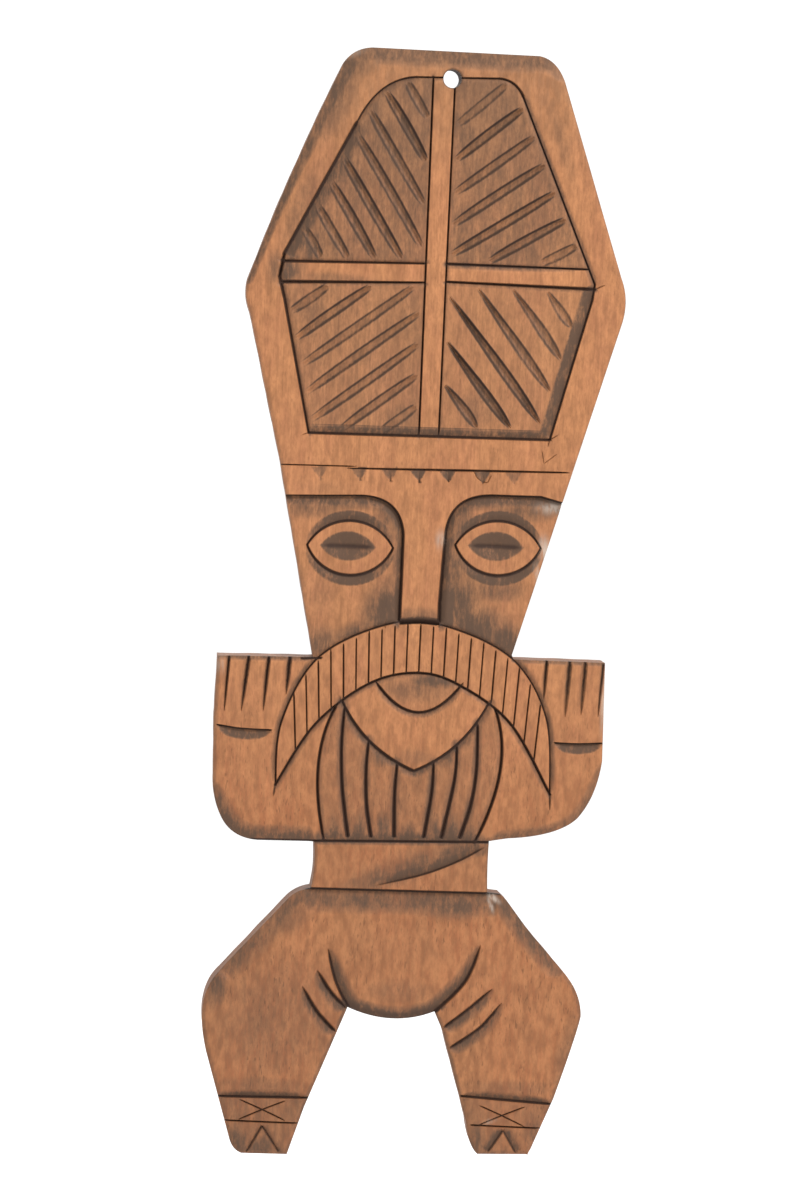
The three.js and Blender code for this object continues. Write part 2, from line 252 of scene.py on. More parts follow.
EYES = {
    "eye_left": ([-29.3, -168.8], [-30.1, -168.8]),
    "eye_right": ([24.1, -166.8], [23.3, -166.8]),
}
LIDS = {name: lens(at, 15.5, 9.3, 10.5) for name, (at, _) in EYES.items()}
PUPILS = {name: lens(at, 10.4, 5.7, 5.4) for name, (_, at) in EYES.items()}
TURNS = np.linspace(0, 2 * math.pi, 48, endpoint=False)
HOLE = HOLE_RADIUS * np.stack([np.cos(TURNS), np.sin(TURNS)], 1)

# ---------------------------------------------------------------- cuts

cuts = []
stain_and_shade_patches = []


# The darkness that a cut is given is painted shade: near black laid along the bottom of the cut.
def cut(path, width, depth, side=BOTH, ends=(0, 0), power=1.0, stain=0.0, painted_shade=0.0, swell=None,
        round_bottom=False, lines=True, reach=1.0, edge=1.6, square=False):
    """One cut: a V over both sides of a path, or a slope on one side that is deepest at the path.

    `ends` are the shares of the length over which it grows and runs out, `swell` is its width along
    the way, `lines` has the mesh follow it, `reach` says how much wider the stain is than the wood
    taken away, and a high `edge` ends the stain sharply. A square cut doesn't go round its ends.
    """
    cuts.append(
        dict(path=evenly(path, LINE_STEP), width=width / 2 if side == BOTH else width, depth=depth,
             side=side, ends=ends, power=power, stain=stain, painted_shade=painted_shade, swell=swell,
             round_bottom=round_bottom, lines=lines, reach=reach, edge=edge, square=square)
    )


def stop_cut(path, line, side, slope, **more):
    """A V line (width, depth, painted shade) and the slope on one side of it (width, depth, stain).
    """
    cut(path, line[0], line[1], painted_shade=line[2])
    cut(path, slope[0], slope[1], side, stain=slope[2], **more)


def widening(start, end):
    """A swell that goes evenly from one width to another."""
    return lambda t: start + (end - start) * t


def fuller(ends, extra):
    """A swell that is widest halfway."""
    return lambda t: ends + extra * np.sin(np.pi * t)


def turning(before, after, rise, wait):
    """A swell that waits, changes its width on the bend and keeps it."""
    return lambda t: before + (after - before) * np.clip(t * rise - wait, 0, 1)


def stain_and_shade_patch(part, *places):
    """A patch on a part, fading outwards: mostly stain, and painted shade under the brows and round
    the nose.
    Its numbers: x, z, half width, half height, strength, lean.
    """
    for x, z, across, along, strength, lean in places:
        angle = math.radians(lean)
        stain_and_shade_patches.append((part, x, z, across, along, strength, math.cos(angle), math.sin(angle)))


def scuff(part, *places):
    """The face of a part rubbed pale, with the same numbers as a patch of stain and shade."""
    for x, z, across, along, strength, lean in places:
        stain_and_shade_patch(part, (x, z, across, along, -strength, lean))


# Rim of the whole board, and the broad bevels of the hat
cut(closed(SILHOUETTE), 0.7, 0.45, RIGHT, stain=0.25)
cut(HAT_TOP, 6.8, 1.9, RIGHT, ends=(0.0, 0.25), power=1.15, stain=0.62, lines=False, edge=2.2)
cut(HAT_SHOULDER, 2.2, 1.7, RIGHT, power=1.2, stain=0.75, lines=False, edge=2.4,
    swell=lambda t: 1 + 1.9 * t**1.5)
cut(HAT_LEFT, 1.3, 0.6, RIGHT, stain=0.3, lines=False)
cut(HAT_RIGHT, 0.9, 0.5, RIGHT, stain=0.2, lines=False)
stain_and_shade_patch("hat_border", (-43, -10, 7, 15, 0.55, -24), (-34, 4, 9, 5, 0.5, 35),
       (-52, -48, 5, 18, 0.35, -22), (40, -20, 2.5, 16, 0.25, 18), (-60.5, -70, 3, 6, 0.5, 0))

# Panel of the hat
cut(PANEL_LEFT_TOP, 1.9, 1.6, painted_shade=1.0, ends=(0.0, 0.05))
cut(PANEL_LEFT_TOP, 5.6, 1.6, RIGHT, ends=(0.02, 0.12), stain=0.9, reach=1.3)
stop_cut(PANEL_CORNER, (1.0, 1.1, 0.9), RIGHT, (2.6, 1.0, 0.55))
cut(PANEL_TOP, 1.1, 1.1, painted_shade=0.9, swell=lambda t: 0.75 + 0.6 * t**3)
cut(PANEL_TOP, 1.6, 0.8, RIGHT, stain=0.45)
stop_cut(PANEL_RIGHT_TOP, (1.1, 1.3, 0.95), RIGHT, (1.8, 0.9, 0.5))
cut(PANEL_RIGHT_TOP, 1.7, 0.9, LEFT, stain=0.6, ends=(0.05, 0.05))
stop_cut(PANEL_RIGHT_LOW, (1.0, 1.3, 0.95), RIGHT, (4.6, 1.5, 0.95), ends=(0.1, 0.03), edge=7)
stop_cut(PANEL_BOTTOM, (1.4, 1.4, 1.0), RIGHT, (3.2, 1.4, 0.78), ends=(0.02, 0.02), edge=6)
cut(PANEL_BOTTOM + [0, 3.1], 0.5, 0.15, ends=(0.05, 0.05), painted_shade=0.3, stain=0.6)
cut(PANEL_LEFT_LOW, 1.3, 1.3, painted_shade=1.0, swell=widening(0.9, 1.4))
cut(PANEL_LEFT_LOW, 2.0, 1.0, RIGHT, stain=0.5)
cut(PANEL_CLOSE, 1.7, 1.5, painted_shade=1.0)
stain_and_shade_patch("hat_field_upper_left", (-50, -62, 12, 7, 0.75, 30), (-40, -38, 6, 20, 0.6, -27),
       (-9, -18, 4, 16, 0.55, 0))
stain_and_shade_patch("hat_field_upper_right", (6, -22, 6, 18, 0.5, 0), (30, -40, 12, 9, 0.45, 30),
       (20, -60, 22, 4.5, 0.5, 0))
stain_and_shade_patch("hat_field_lower_left", (-48, -84, 9, 6, 0.5, 35), (-14, -121, 8, 6, 0.4, 0))
stain_and_shade_patch("hat_field_lower_right", (14, -118, 8, 8, 0.4, 0))

# Where the knife ran past the corners of the panel
for start, end, width, depth, painted_shade in (
    ([41, -127.5], [44.6, -125.2], 0.7, 0.4, 0.6), ([41, -127.5], [40.2, -130.4], 0.6, 0.4, 0.5),
    ([54.6, -72.8], [58.6, -70.9], 0.8, 0.5, 0.6), ([-46, -128.5], [-48.6, -129.5], 0.7, 0.4, 0.5),
):
    cut(drawn(start, end), width, depth, ends=(0, 0.9), painted_shade=painted_shade)

# Bars of the panel
stop_cut(BAR_LEFT, (0.9, 1.3, 1.0), RIGHT, (1.2, 0.7, 0.35))
stop_cut(BAR_RIGHT, (0.9, 1.3, 1.0), LEFT, (1.2, 0.7, 0.35))
for line, width, painted_shade, swell in (
    (CROSS_TOP[:2], 1.4, 0.95, widening(1.15, 0.75)), (CROSS_TOP[2:], 1.3, 0.95, widening(1.2, 0.8)),
    (CROSS_BOTTOM[:2], 1.5, 1.0, widening(1.25, 0.65)),
    (CROSS_BOTTOM[2:], 1.5, 1.0, widening(0.8, 1.2)),
):
    cut(line, width, 1.3, painted_shade=painted_shade, swell=swell)
cut(CROSS_TOP[:2], 2.2, 0.9, LEFT, stain=0.5)
cut(CROSS_TOP[2:], 2.0, 0.7, RIGHT, stain=0.7, ends=(0.0, 0.6))
cut(CROSS_TOP[2:], 1.6, 0.8, LEFT, stain=0.4)
cut(CROSS_BOTTOM[:2], 1.8, 0.8, RIGHT, stain=0.5)
cut(CROSS_BOTTOM[2:], 1.6, 0.8, RIGHT, stain=0.5)
stain_and_shade_patch("hat_cross_bar_left", (-56.5, -71, 5.5, 6.0, 0.95, 0), (-40, -73.5, 16, 2.5, 0.4, 0))


def strokes(field, start, angles, pitch, strengths, fullest, floor, narrow=0.68, margin=1.3):
    """Parallel gouge strokes over one field of the panel, each stopping short of its edges.

    They run from the left; a high `fullest` puts their widest place further on, `floor` is how much
    stain lies between their rims of painted shadow, and `narrow` is the share of width at their
    ends.
    """
    edge = evenly(closed(field), 0.5)
    middle = math.radians(sum(angles) / 2)
    across = np.array([math.sin(middle), -math.cos(middle)]) * pitch
    turns = np.radians(np.linspace(*angles, len(strengths)))
    for i, (angle, strength) in enumerate(zip(turns, strengths)):
        along = np.array([math.cos(angle), math.sin(angle)])
        square_to = np.array([-along[1], along[0]])
        on = start + across * i + np.linspace(-80, 80, 641)[:, None] * along
        on = on[inside(field, on)]
        on = on[np.hypot(*(on[:, None] - edge[None]).T).min(0) > margin]
        if len(on) < FEWEST_POINTS:
            continue
        bow = square_to * 0.35 * (1 if i % 2 else -1)
        path = drawn(on[0], [*((on[0] + on[-1]) / 2 + bow), *on[-1]])
        taper = lambda t: narrow + (1 - narrow) * np.sin(np.pi * np.clip(t, 0.02, 1) ** fullest)
        cut(path, 3.9, 1.5 * strength, ends=(0.22, 0.14), round_bottom=True, swell=taper,
            stain=floor * strength, edge=5)
        full = taper(np.linspace(0, 1, len(path)))[:, None]
        # Along each rim a shallow stained cut with a line of painted shadow, the upper rim's line
        # darker
        cut(path + square_to * full * 1.5, 1.3, 0.35, ends=(0.25, 0.2), stain=strength,
            painted_shade=0.55 * strength**2)
        cut(path - square_to * full * 1.45, 1.5, 0.45, ends=(0.2, 0.2), stain=1.05 * strength,
            painted_shade=0.42 * strength)


FIELD_UL = drawn(
    [-57.6, -67.4], [-57.5, -65], [-33, -16], [-26, -1.2, -13, 0], [-6.9, 0.2], [-6.9, -66.2],
)
FIELD_UR = drawn([0.9, -66], [0.9, 0.4], [17, 0.8], [22.5, 0.6, 25.5, -5], [52.3, -65.7])
FIELD_LL = drawn([-58, -75], [-6.7, -73], [-6.3, -128.1], [-46, -128.5], [-56.6, -81])
FIELD_LR = drawn([0.9, -72.4], [51.6, -72.8], [51.2, -76.5], [38, -125], [0.8, -126])
strokes(FIELD_UL, [-12, -8.4], (-57.5, -57.5), 8.3, [0.9, 1.2, 1.0, 1.05, 1.15, 1.1, 1.0, 0.95],
        1.0, 0.55)
strokes(FIELD_UR, [10.5, -9], (42, 29), 10.1, [0.85, 1.2, 1.05, 1.1, 1.2, 1.15, 0.95], 0.9, 0.42)
strokes(FIELD_LL, [-47.8, -80.5], (37, 38), 8.95, [0.95, 1.1, 0.95, 1.0, 1.0, 1.0, 0.85], 0.9,
        0.36)
strokes(FIELD_LR, [43.2, -81.6], (-53.5, -50.5), 9.85, [0.8, 0.85, 0.95, 1.15, 1.2, 1.0], 1.6,
        0.55, narrow=0.35)

# Line under the hat, cut in two goes, and the chips that hang from it
cut(drawn([-57, -140.3], [-28, -139.9]), 0.7, 0.7, painted_shade=0.8, ends=(0, 0.15))
cut(drawn([-32, -140.7], [49, -139.0]), 1.0, 1.0, painted_shade=0.95, ends=(0.08, 0.05),
    swell=lambda t: 0.75 + 0.45 * np.sin(3.1 * t))
for x, size in ((-41.6, 0.4), (-27.3, 0.5), (-16.4, 0.75), (-6, 0.9), (4.6, 1.0), (17.1, 0.7),
                (28.4, 0.4)):
    top = -139.9 + x * 0.011
    cut(drawn([x, top], [x + 0.6, top - 4.6]), 6.2, 0.9 * size, stain=1.15 * size, edge=5,
        swell=lambda t: 1.02 - t**1.4, square=True)
cut(drawn([14.4, -140.4], [15.4, -143.6, 19.2, -143.9], [20.2, -141.6]), 0.6, 0.4, painted_shade=0.4)
for start, end in (([38.3, -131.3], [39.2, -136.2]), ([39.2, -136.2], [44.0, -132.3])):
    cut(drawn(start, end), 0.6, 0.3, painted_shade=0.5, ends=(0.2, 0.3))
# Stain along the forehead under the hat's line, and painted shade at the foot of the nose
stain_and_shade_patch("forehead", (-40, -148, 12, 3, 0.18, 0), (-3, -193, 8, 3, 0.5, 0))

# Brows, and the sockets and cheeks sloping away from them
cut(BROW_LEFT, 1.3, 1.4, painted_shade=1.0, swell=turning(0.5, 1.1, 1.8, 0.4))
cut(BROW_LEFT, 5.2, 2.0, RIGHT, power=1.3, stain=0.85, reach=1.15,
    swell=turning(1.05, 0.65, 2.2, 0.8))
cut(BROW_RIGHT, 1.5, 1.5, painted_shade=1.0, swell=turning(0.7, 1.3, 2.2, 0.7))
cut(BROW_RIGHT, 5.2, 2.0, LEFT, power=1.3, stain=0.9, reach=1.15,
    swell=turning(1.05, 0.7, 2.2, 0.8))
# On the cheeks: painted shade under the brows and down the sides of the nose, with stain
stain_and_shade_patch("cheek_left", (-12.6, -192, 3.6, 11, 1.3, -8), (-16, -192, 7, 12, 0.85, -14),
       (-38, -205, 8, 6, 0.75, 0), (-24, -199, 13, 3.5, 0.7, 26), (-45, -155.5, 11, 3.5, 0.6, 0),
       (-16, -158, 5, 7, 0.6, 20), (-40, -185, 8, 12, 0.18, 0))
stain_and_shade_patch("cheek_right", (6.5, -190, 3.6, 15, 1.3, 0), (10, -189, 8, 13, 0.85, 0),
       (17, -197, 13, 8, 0.95, -20), (9, -176, 5, 8, 0.7, 0), (28, -202, 9, 7, 0.95, -30),
       (24, -182.5, 9, 4, 0.6, 0), (33, -153.8, 12, 3.2, 0.65, 0), (10, -158, 4.5, 7, 0.6, -20))

for upper, lower in LIDS.values():
    cut(upper, 1.35, 1.2, painted_shade=1.0, swell=fuller(0.75, 0.3))
    cut(lower, 1.6, 1.3, painted_shade=1.0, swell=fuller(0.75, 0.35))
    for lid in (upper, lower):
        cut(lid, 3.9, 1.3, LEFT, ends=(0.5, 0.5), stain=1.05, painted_shade=0.13, edge=9)
        cut(lid, 1.3, 0.45, RIGHT)

# The nose ends in a slope down to the moustache, stained and darkened with painted shade
NOSE_END = flowing([-10.3, -196.2], [-3, -195.6], [4.3, -196])
cut(NOSE_END, 2.6, 1.9, LEFT, ends=(0.02, 0.02), stain=1.0, painted_shade=0.85, edge=4)

# Moustache, its tips cut past their ends, and its hairs
stop_cut(MOUSTACHE_TOP, (0.9, 1.2, 0.95), LEFT, (2.2, 1.1, 0.6), ends=(0.05, 0.05))
cut(MOUSTACHE_TOP + [0, 1.9], 0.5, 0.2, stain=0.5, painted_shade=0.25, ends=(0.25, 0.25), lines=False)
stop_cut(MOUSTACHE_BOTTOM, (1.4, 1.4, 1.0), LEFT, (1.9, 0.8, 0.55))
cut(drawn([-52.5, -256], [-53.2, -260.5]), 1.3, 0.7, ends=(0, 0.95), painted_shade=0.5, stain=0.8)
cut(drawn([47.2, -256], [47.4, -262]), 1.1, 0.7, ends=(0, 0.95), painted_shade=0.6, stain=0.8)
cut(drawn([-15, -193.8], [-15.4, -197.4]), 0.7, 0.4, ends=(0.5, 0), painted_shade=0.4)
HAIRS = 21
for i in range(HAIRS):
    lean = i / (HAIRS - 1) - 0.5
    top, low = np.array([-2.5 + lean * 94, -190]), np.array([-2.5 + lean * 84, -262])
    hair = top + (low - top) * np.linspace(0, 1, 481)[:, None]
    hair = hair[inside(MOUSTACHE, hair)]
    if len(hair) > FEWEST_POINTS:
        short = 5 if i % 3 else 1
        cut(np.array([hair[short], hair[-2]]), 0.75 if i % 2 else 0.85, 0.85, painted_shade=1.0,
            ends=(0.08, 0.05))

# Lip and chin
cut(LIP_LINE, 1.6, 1.4, painted_shade=1.0, ends=(0.12, 0.12))
cut(LIP_LINE, 2.3, 1.0, RIGHT, stain=0.6, ends=(0.2, 0.2))
cut(CHIN_LINE, 1.6, 1.5, painted_shade=1.0, swell=fuller(0.8, 0.3))
cut(CHIN_LINE, 3.0, 1.5, RIGHT, stain=0.8)
stain_and_shade_patch("lower_lip", (3, -216.3, 8.5, 2.8, 0.9, 0), (-3, -219.5, 13, 5, 0.45, 0))
stain_and_shade_patch("chin", (-2, -244, 7, 3, 0.3, 0))

# Beard
stop_cut(BEARD_LEFT, (1.5, 1.5, 1.0), LEFT, (3.0, 0.7, 0.35), ends=(0.1, 0.1))
stop_cut(BEARD_RIGHT, (1.5, 1.5, 1.0), RIGHT, (3.0, 0.7, 0.4), ends=(0.1, 0.1))
for lock in (
    flowing([-28.6, -226.5], [-29.2, -240], [-28.3, -256], [-25.4, -274.5]),
    flowing([-19.4, -238.5], [-19.9, -249], [-19.2, -262], [-17, -274.3]),
    flowing([-8.7, -246.2], [-9.2, -258], [-8.7, -274]),
    flowing([4.4, -245.8], [4.2, -257], [2, -273.8]),
    flowing([12.6, -239], [12.3, -252], [8.4, -273.8]),
    flowing([19.8, -231], [20.1, -248], [18.6, -261], [15, -273.6]),
):
    cut(lock, 2.0, 1.7, painted_shade=1.0, ends=(0.04, 0.02), swell=widening(0.75, 1.15))
    cut(lock, 2.6, 0.9, LEFT, stain=0.45)
    cut(lock, 2.6, 0.9, RIGHT, stain=0.6)
cut(drawn([-34.2, -275.9], [20.6, -274.6]), 5.0, 1.5, LEFT, stain=0.85, power=1.2)
for x, tall in ((-30.5, 7.7), (-21.5, 9.9), (-13, 9.9), (-3.5, 6.6), (5.6, 8.8), (12, 9.9),
                (18, 6.6)):
    stain_and_shade_patch("beard", (x, -275, 3.2, tall, 1.0, 0))
stain_and_shade_patch("beard", (-25, -230, 3, 7, 0.6, 0), (-15.5, -244, 5, 4, 0.7, 0), (8, -243.5, 5, 4, 0.7, 0),
       (16, -236, 3, 5, 0.6, 0), (-6, -274.5, 26, 2.2, 0.7, 0), (-12, -262, 22, 10, 0.25, 0))

# Arms and hands: bevels, fingers and cuffs
stop_cut(HEM, (1.3, 1.3, 1.0), LEFT, (2.2, 1.0, 0.6))
cut(ARM_LEFT[:-1], 1.5, 0.8, RIGHT, stain=0.4, lines=False)
cut(SLEEVE_LEFT, 6.5, 1.8, RIGHT, ends=(0.05, 0.35), stain=0.9, power=1.2, lines=False)
cut(SLEEVE_RIGHT, 4.0, 1.4, RIGHT, ends=(0.3, 0.1), stain=0.55, power=1.2, lines=False)
cut(drawn([-75.2, -210], [-40.8, -209.3]), 1.6, 1.0, RIGHT, stain=0.75)
cut(drawn([31.7, -207.4], [65, -207.4]), 1.4, 0.8, RIGHT, stain=0.6)
cut(drawn([-45, -209.9], [-38, -209.5]), 1.2, 1.2, painted_shade=0.8, stain=0.8)
for start, end, width, painted_shade in (
    ([-71.1, -210.3], [-72.1, -230.2], 1.4, 0.7), ([-64, -210], [-66, -230], 1.9, 0.8),
    ([-56.8, -210], [-58.1, -229.7], 1.8, 0.8), ([-49.2, -209.8], [-50.1, -223.3], 2.0, 0.8),
    ([43.8, -207.6], [43.2, -222.3], 1.7, 0.65), ([52.2, -207.6], [51.3, -227.8], 2.1, 0.45),
    ([57.9, -207.6], [57.1, -226.9], 2.0, 0.45), ([64.4, -208.2], [63.3, -227.4], 1.3, 0.4),
):
    cut(drawn(start, end), width, 1.5, painted_shade=painted_shade, stain=0.9, ends=(0, 0.85))
    cut(drawn(start, end), width * 1.1, 0.5, RIGHT, stain=0.35, ends=(0, 0.8), lines=False)
for cuff, tall in (
    (flowing([-74.8, -234.9], [-66, -236], [-54.4, -236.2]), 4.0),
    (flowing([47.7, -237.1], [56, -237.2], [65.6, -236.6]), 3.9),
):
    cut(cuff, 0.9, 1.2, painted_shade=1.0, ends=(0.05, 0.05))
    cut(cuff, tall, 1.4, RIGHT, ends=(0.25, 0.25), stain=0.9, painted_shade=0.12, edge=6,
        swell=lambda t: 0.35 + 0.65 * np.sin(np.pi * np.clip(t, 0, 1)) ** 0.5)

# Sash
cut(SASH_BOTTOM, 1.5, 1.6, painted_shade=1.0)
cut(HEM, 1.6, 0.9, RIGHT, stain=0.75)
FOLD = flowing([-16.3, -291.9], [2, -287], [15, -281.6], [24.6, -276])
cut(FOLD, 1.0, 0.9, painted_shade=0.6, ends=(0.4, 0.1))
cut(FOLD, 6.5, 1.7, LEFT, ends=(0.35, 0.15), stain=0.95, power=0.9, painted_shade=0.1)
stain_and_shade_patch("sash", (-12, -288, 11, 4, 0.7, 24), (2, -282.5, 13, 4, 0.7, 22),
       (15, -278, 9, 3.5, 0.85, 20), (-22, -291, 6, 2.5, 0.5, 20), (-6, -285, 26, 7, 0.35, 24),
       (20, -277, 8, 2.5, 0.6, 0))
cut(WAIST_LEFT, 1.2, 0.8, RIGHT, stain=0.5)
cut(WAIST_RIGHT[:-1], 1.0, 0.8, RIGHT, stain=0.5)

# Trousers: bevels, then the line of the belly and the creases beside it
cut(drawn([-42, -293.4], [32, -293.0]), 9.5, 2.4, RIGHT, ends=(0.05, 0.05), stain=0.62, power=1.1,
    edge=2.4)
cut(HIP_LEFT, 8.0, 2.2, RIGHT, ends=(0.12, 0.1), stain=0.6, power=1.1, lines=False)
cut(HIP_RIGHT, 6.5, 2.0, RIGHT, ends=(0.1, 0.15), stain=0.75, power=1.1, lines=False)
cut(CROTCH, 4.6, 2.0, RIGHT, stain=1.0, painted_shade=0.35, power=1.3, reach=1.2)
for outline, width, depth, stain in ((INSIDE_LEFT, 1.8, 1.0, 0.6), (INSIDE_RIGHT, 1.2, 0.8, 0.6),
                                     (LEG_LEFT, 1.8, 1.0, 0.45), (LEG_RIGHT, 1.6, 0.9, 0.45)):
    cut(outline, width, depth, RIGHT, stain=stain, lines=False)
for line, side, width in (
    (flowing([-30.9, -314.7], [-27.4, -327], [-22.7, -335.8]), LEFT, 5.0),
    (flowing([24.7, -311.7], [19.5, -325.5], [9.1, -336.9]), RIGHT, 5.4),
):
    cut(line, 1.7, 1.5, painted_shade=0.8, ends=(0.3, 0.0))
    cut(line, width, 1.9, side, ends=(0.8, 0.0), stain=0.95, power=1.1)
for crease, side in (
    (flowing([-34.5, -322.9], [-29.6, -330.3], [-23.4, -336.8]), RIGHT),
    (flowing([-39.7, -328.9], [-34, -338], [-26.6, -345.6]), RIGHT),
    (flowing([29.8, -327.7], [21.5, -335.5], [12.4, -342.8]), LEFT),
    (flowing([33.3, -332.8], [26, -342.2], [14.8, -350.4]), LEFT),
):
    cut(crease, 2.0, 1.6, painted_shade=0.75, ends=(0.35, 0.1))
    cut(crease, 4.2, 1.3, side, ends=(0.5, 0.15), stain=0.95)
stain_and_shade_patch("trousers", (13, -297.5, 13, 4.5, 0.85, 0), (-20, -297, 9, 4, 0.75, 0),
       (-60, -317, 14, 5, 0.5, 49), (-71, -329, 4, 9, 0.75, 0), (47, -312, 12, 4.5, 0.6, -50),
       (-45, -303, 9, 6, 0.45, 45), (-50, -342, 24, 26, 0.34, 0), (-4, -312, 26, 14, 0.12, 0),
       (-4, -330, 12, 5, 0.3, 0), (-52, -366, 18, 4, 0.4, 0), (38, -364, 18, 3, 0.3, 0),
       (57, -350, 3, 20, 0.3, -15), (-30, -352, 3, 16, 0.35, 22))

# Shoes: top and toe lines, the laces' cross, and the tongue with a slope on each side
for top, toe, cross, apex, bases, (slope, fall, rise, stain) in (
    (drawn([-69.5, -370.3], [-35.8, -369.9]), drawn([-66.2, -379], [-38.6, -379.4]),
     [-52.2, -374.7], [-52, -380.6], ([-57.4, -390.6], [-45.4, -390.3]), (1.6, 0.8, 0.2, 0.6)),
    (drawn([20.2, -367.6], [54, -369.6]), drawn([23.6, -378.1], [50.4, -378.6]),
     [35.2, -374.3], [35.9, -379.7], ([30.6, -388], [41, -388]), (3.8, 1.2, 0.25, 0.9)),
):
    cut(top, 1.1, 1.2, painted_shade=1.0)
    cut(top, 3.0, 1.4, LEFT, stain=0.95, power=0.9, ends=(0.3, 0.3))
    cut(toe, 0.9, 1.0, painted_shade=0.8, ends=(0.05, 0.05))
    for way in (-1, 1):
        high_end = [cross[0] - 8.6 * way, cross[1] + 3.6]
        low_end = [cross[0] + 8.6 * way, cross[1] - 3.9]
        cut(flowing(high_end, cross, low_end), 0.8, 0.8, painted_shade=0.68, ends=(0.15, 0.15))
    for base, outward in zip(bases, (RIGHT, LEFT)):
        cut(drawn(apex, base), 1.2, 1.0, painted_shade=0.45, stain=0.9, ends=(0.06, 0.03))
        cut(drawn(apex, base), slope, fall, outward, ends=(rise, 0.05), stain=stain)
stain_and_shade_patch("shoe_left", (-52, -388.5, 6, 5, 0.8, 0), (-62, -386, 6, 7, 0.85, 0),
       (-40, -380, 3, 10, 0.5, 0), (-52, -372, 16, 2, 0.35, 0))
stain_and_shade_patch("shoe_right", (26, -384, 4, 8, 0.65, 0), (47, -379, 4, 10, 0.55, 0))

# Hole, with a shallow slope round it that is stained and darkened with painted shade
cut(closed(HOLE), 0.7, 0.5, RIGHT, painted_shade=0.35, stain=0.5)

# Where the piece has been rubbed and knocked
scuff("cheek_right", (41, -167.5, 2.0, 4.5, 0.75, 10), (43, -152.2, 4.5, 2.0, 0.5, 0),
      (39.3, -178, 1.2, 5, 0.55, 12))
scuff("forehead", (3.2, -165, 1.5, 3, 0.5, 0))
scuff("arm_right", (65, -222, 0.9, 9, 0.5, 0))
scuff("trousers", (28.5, -294.6, 2.4, 0.9, 0.9, -35), (27.6, -297, 0.6, 2.4, 0.8, 20))
scuff("shoe_right", (31, -376.5, 2.2, 0.8, 0.35, 20))
scuff("hat_border", (-37, 7, 5, 1.2, 0.25, 20))
scuff("arm_left", (-74, -213, 1.5, 3, 0.3, 0))

# ---------------------------------------------------------------- surface


def stations(path):
    """The length of each stretch, where it starts, and the whole length."""
    lengths = np.hypot(*np.diff(path, axis=0).T)
    return lengths, np.r_[0, np.cumsum(lengths)[:-1]], lengths.sum()


def size_at(t, ends):
    """1 along a cut, falling to nothing over the share at either end."""
    size = np.ones_like(t)
    for share, way_in in zip(ends, (t, 1 - t)):
        if share:
            size = np.minimum(size, np.clip(way_in / share, 0, 1))
    return np.sqrt(size * (2 - size))


def width_at(one, t):
    """How far a cut reaches from its path at each share of its length."""
    return one["width"] * size_at(t, one["ends"]) * (one["swell"](t) if one["swell"] else 1)


def rims(one):
    """The valley of a cut and the lines where it leaves the face, for the mesh to follow."""
    path = one["path"]
    lengths, _, total = stations(path)
    t = np.r_[0, np.cumsum(lengths)] / total
    way = np.gradient(path, axis=0)
    way /= np.maximum(np.hypot(*way.T), 1e-9)[:, None]
    left = np.stack([-way[:, 1], way[:, 0]], 1)
    made = [path]
    width = width_at(one, t)
    for side in (LEFT, RIGHT):
        w = width if one["side"] in (BOTH, side) else np.full_like(width, STEEP_SIDE)
        if one["side"] not in (BOTH, side) and one["depth"] < SHALLOW:
            continue
        wide = w > NARROWEST
        for run in np.split(np.arange(len(path)), np.flatnonzero(np.diff(wide.astype(int))) + 1):
            if len(run) > 2 and wide[run[0]]:
                made.append(path[run] + left[run] * side * w[run, None])
    return made


def lies_on(line, starts, stops):
    """Whether a line keeps to stretches that are laid already."""
    sample = line[np.linspace(0, len(line) - 1, 9).astype(int)]
    way, gap = stops - starts, sample[:, None] - starts
    t = np.clip((gap * way).sum(2) / np.maximum((way * way).sum(1), 1e-12), 0, 1)
    return (np.hypot(*(gap - t[..., None] * way).T).min(0) < SAME_LINE).all()


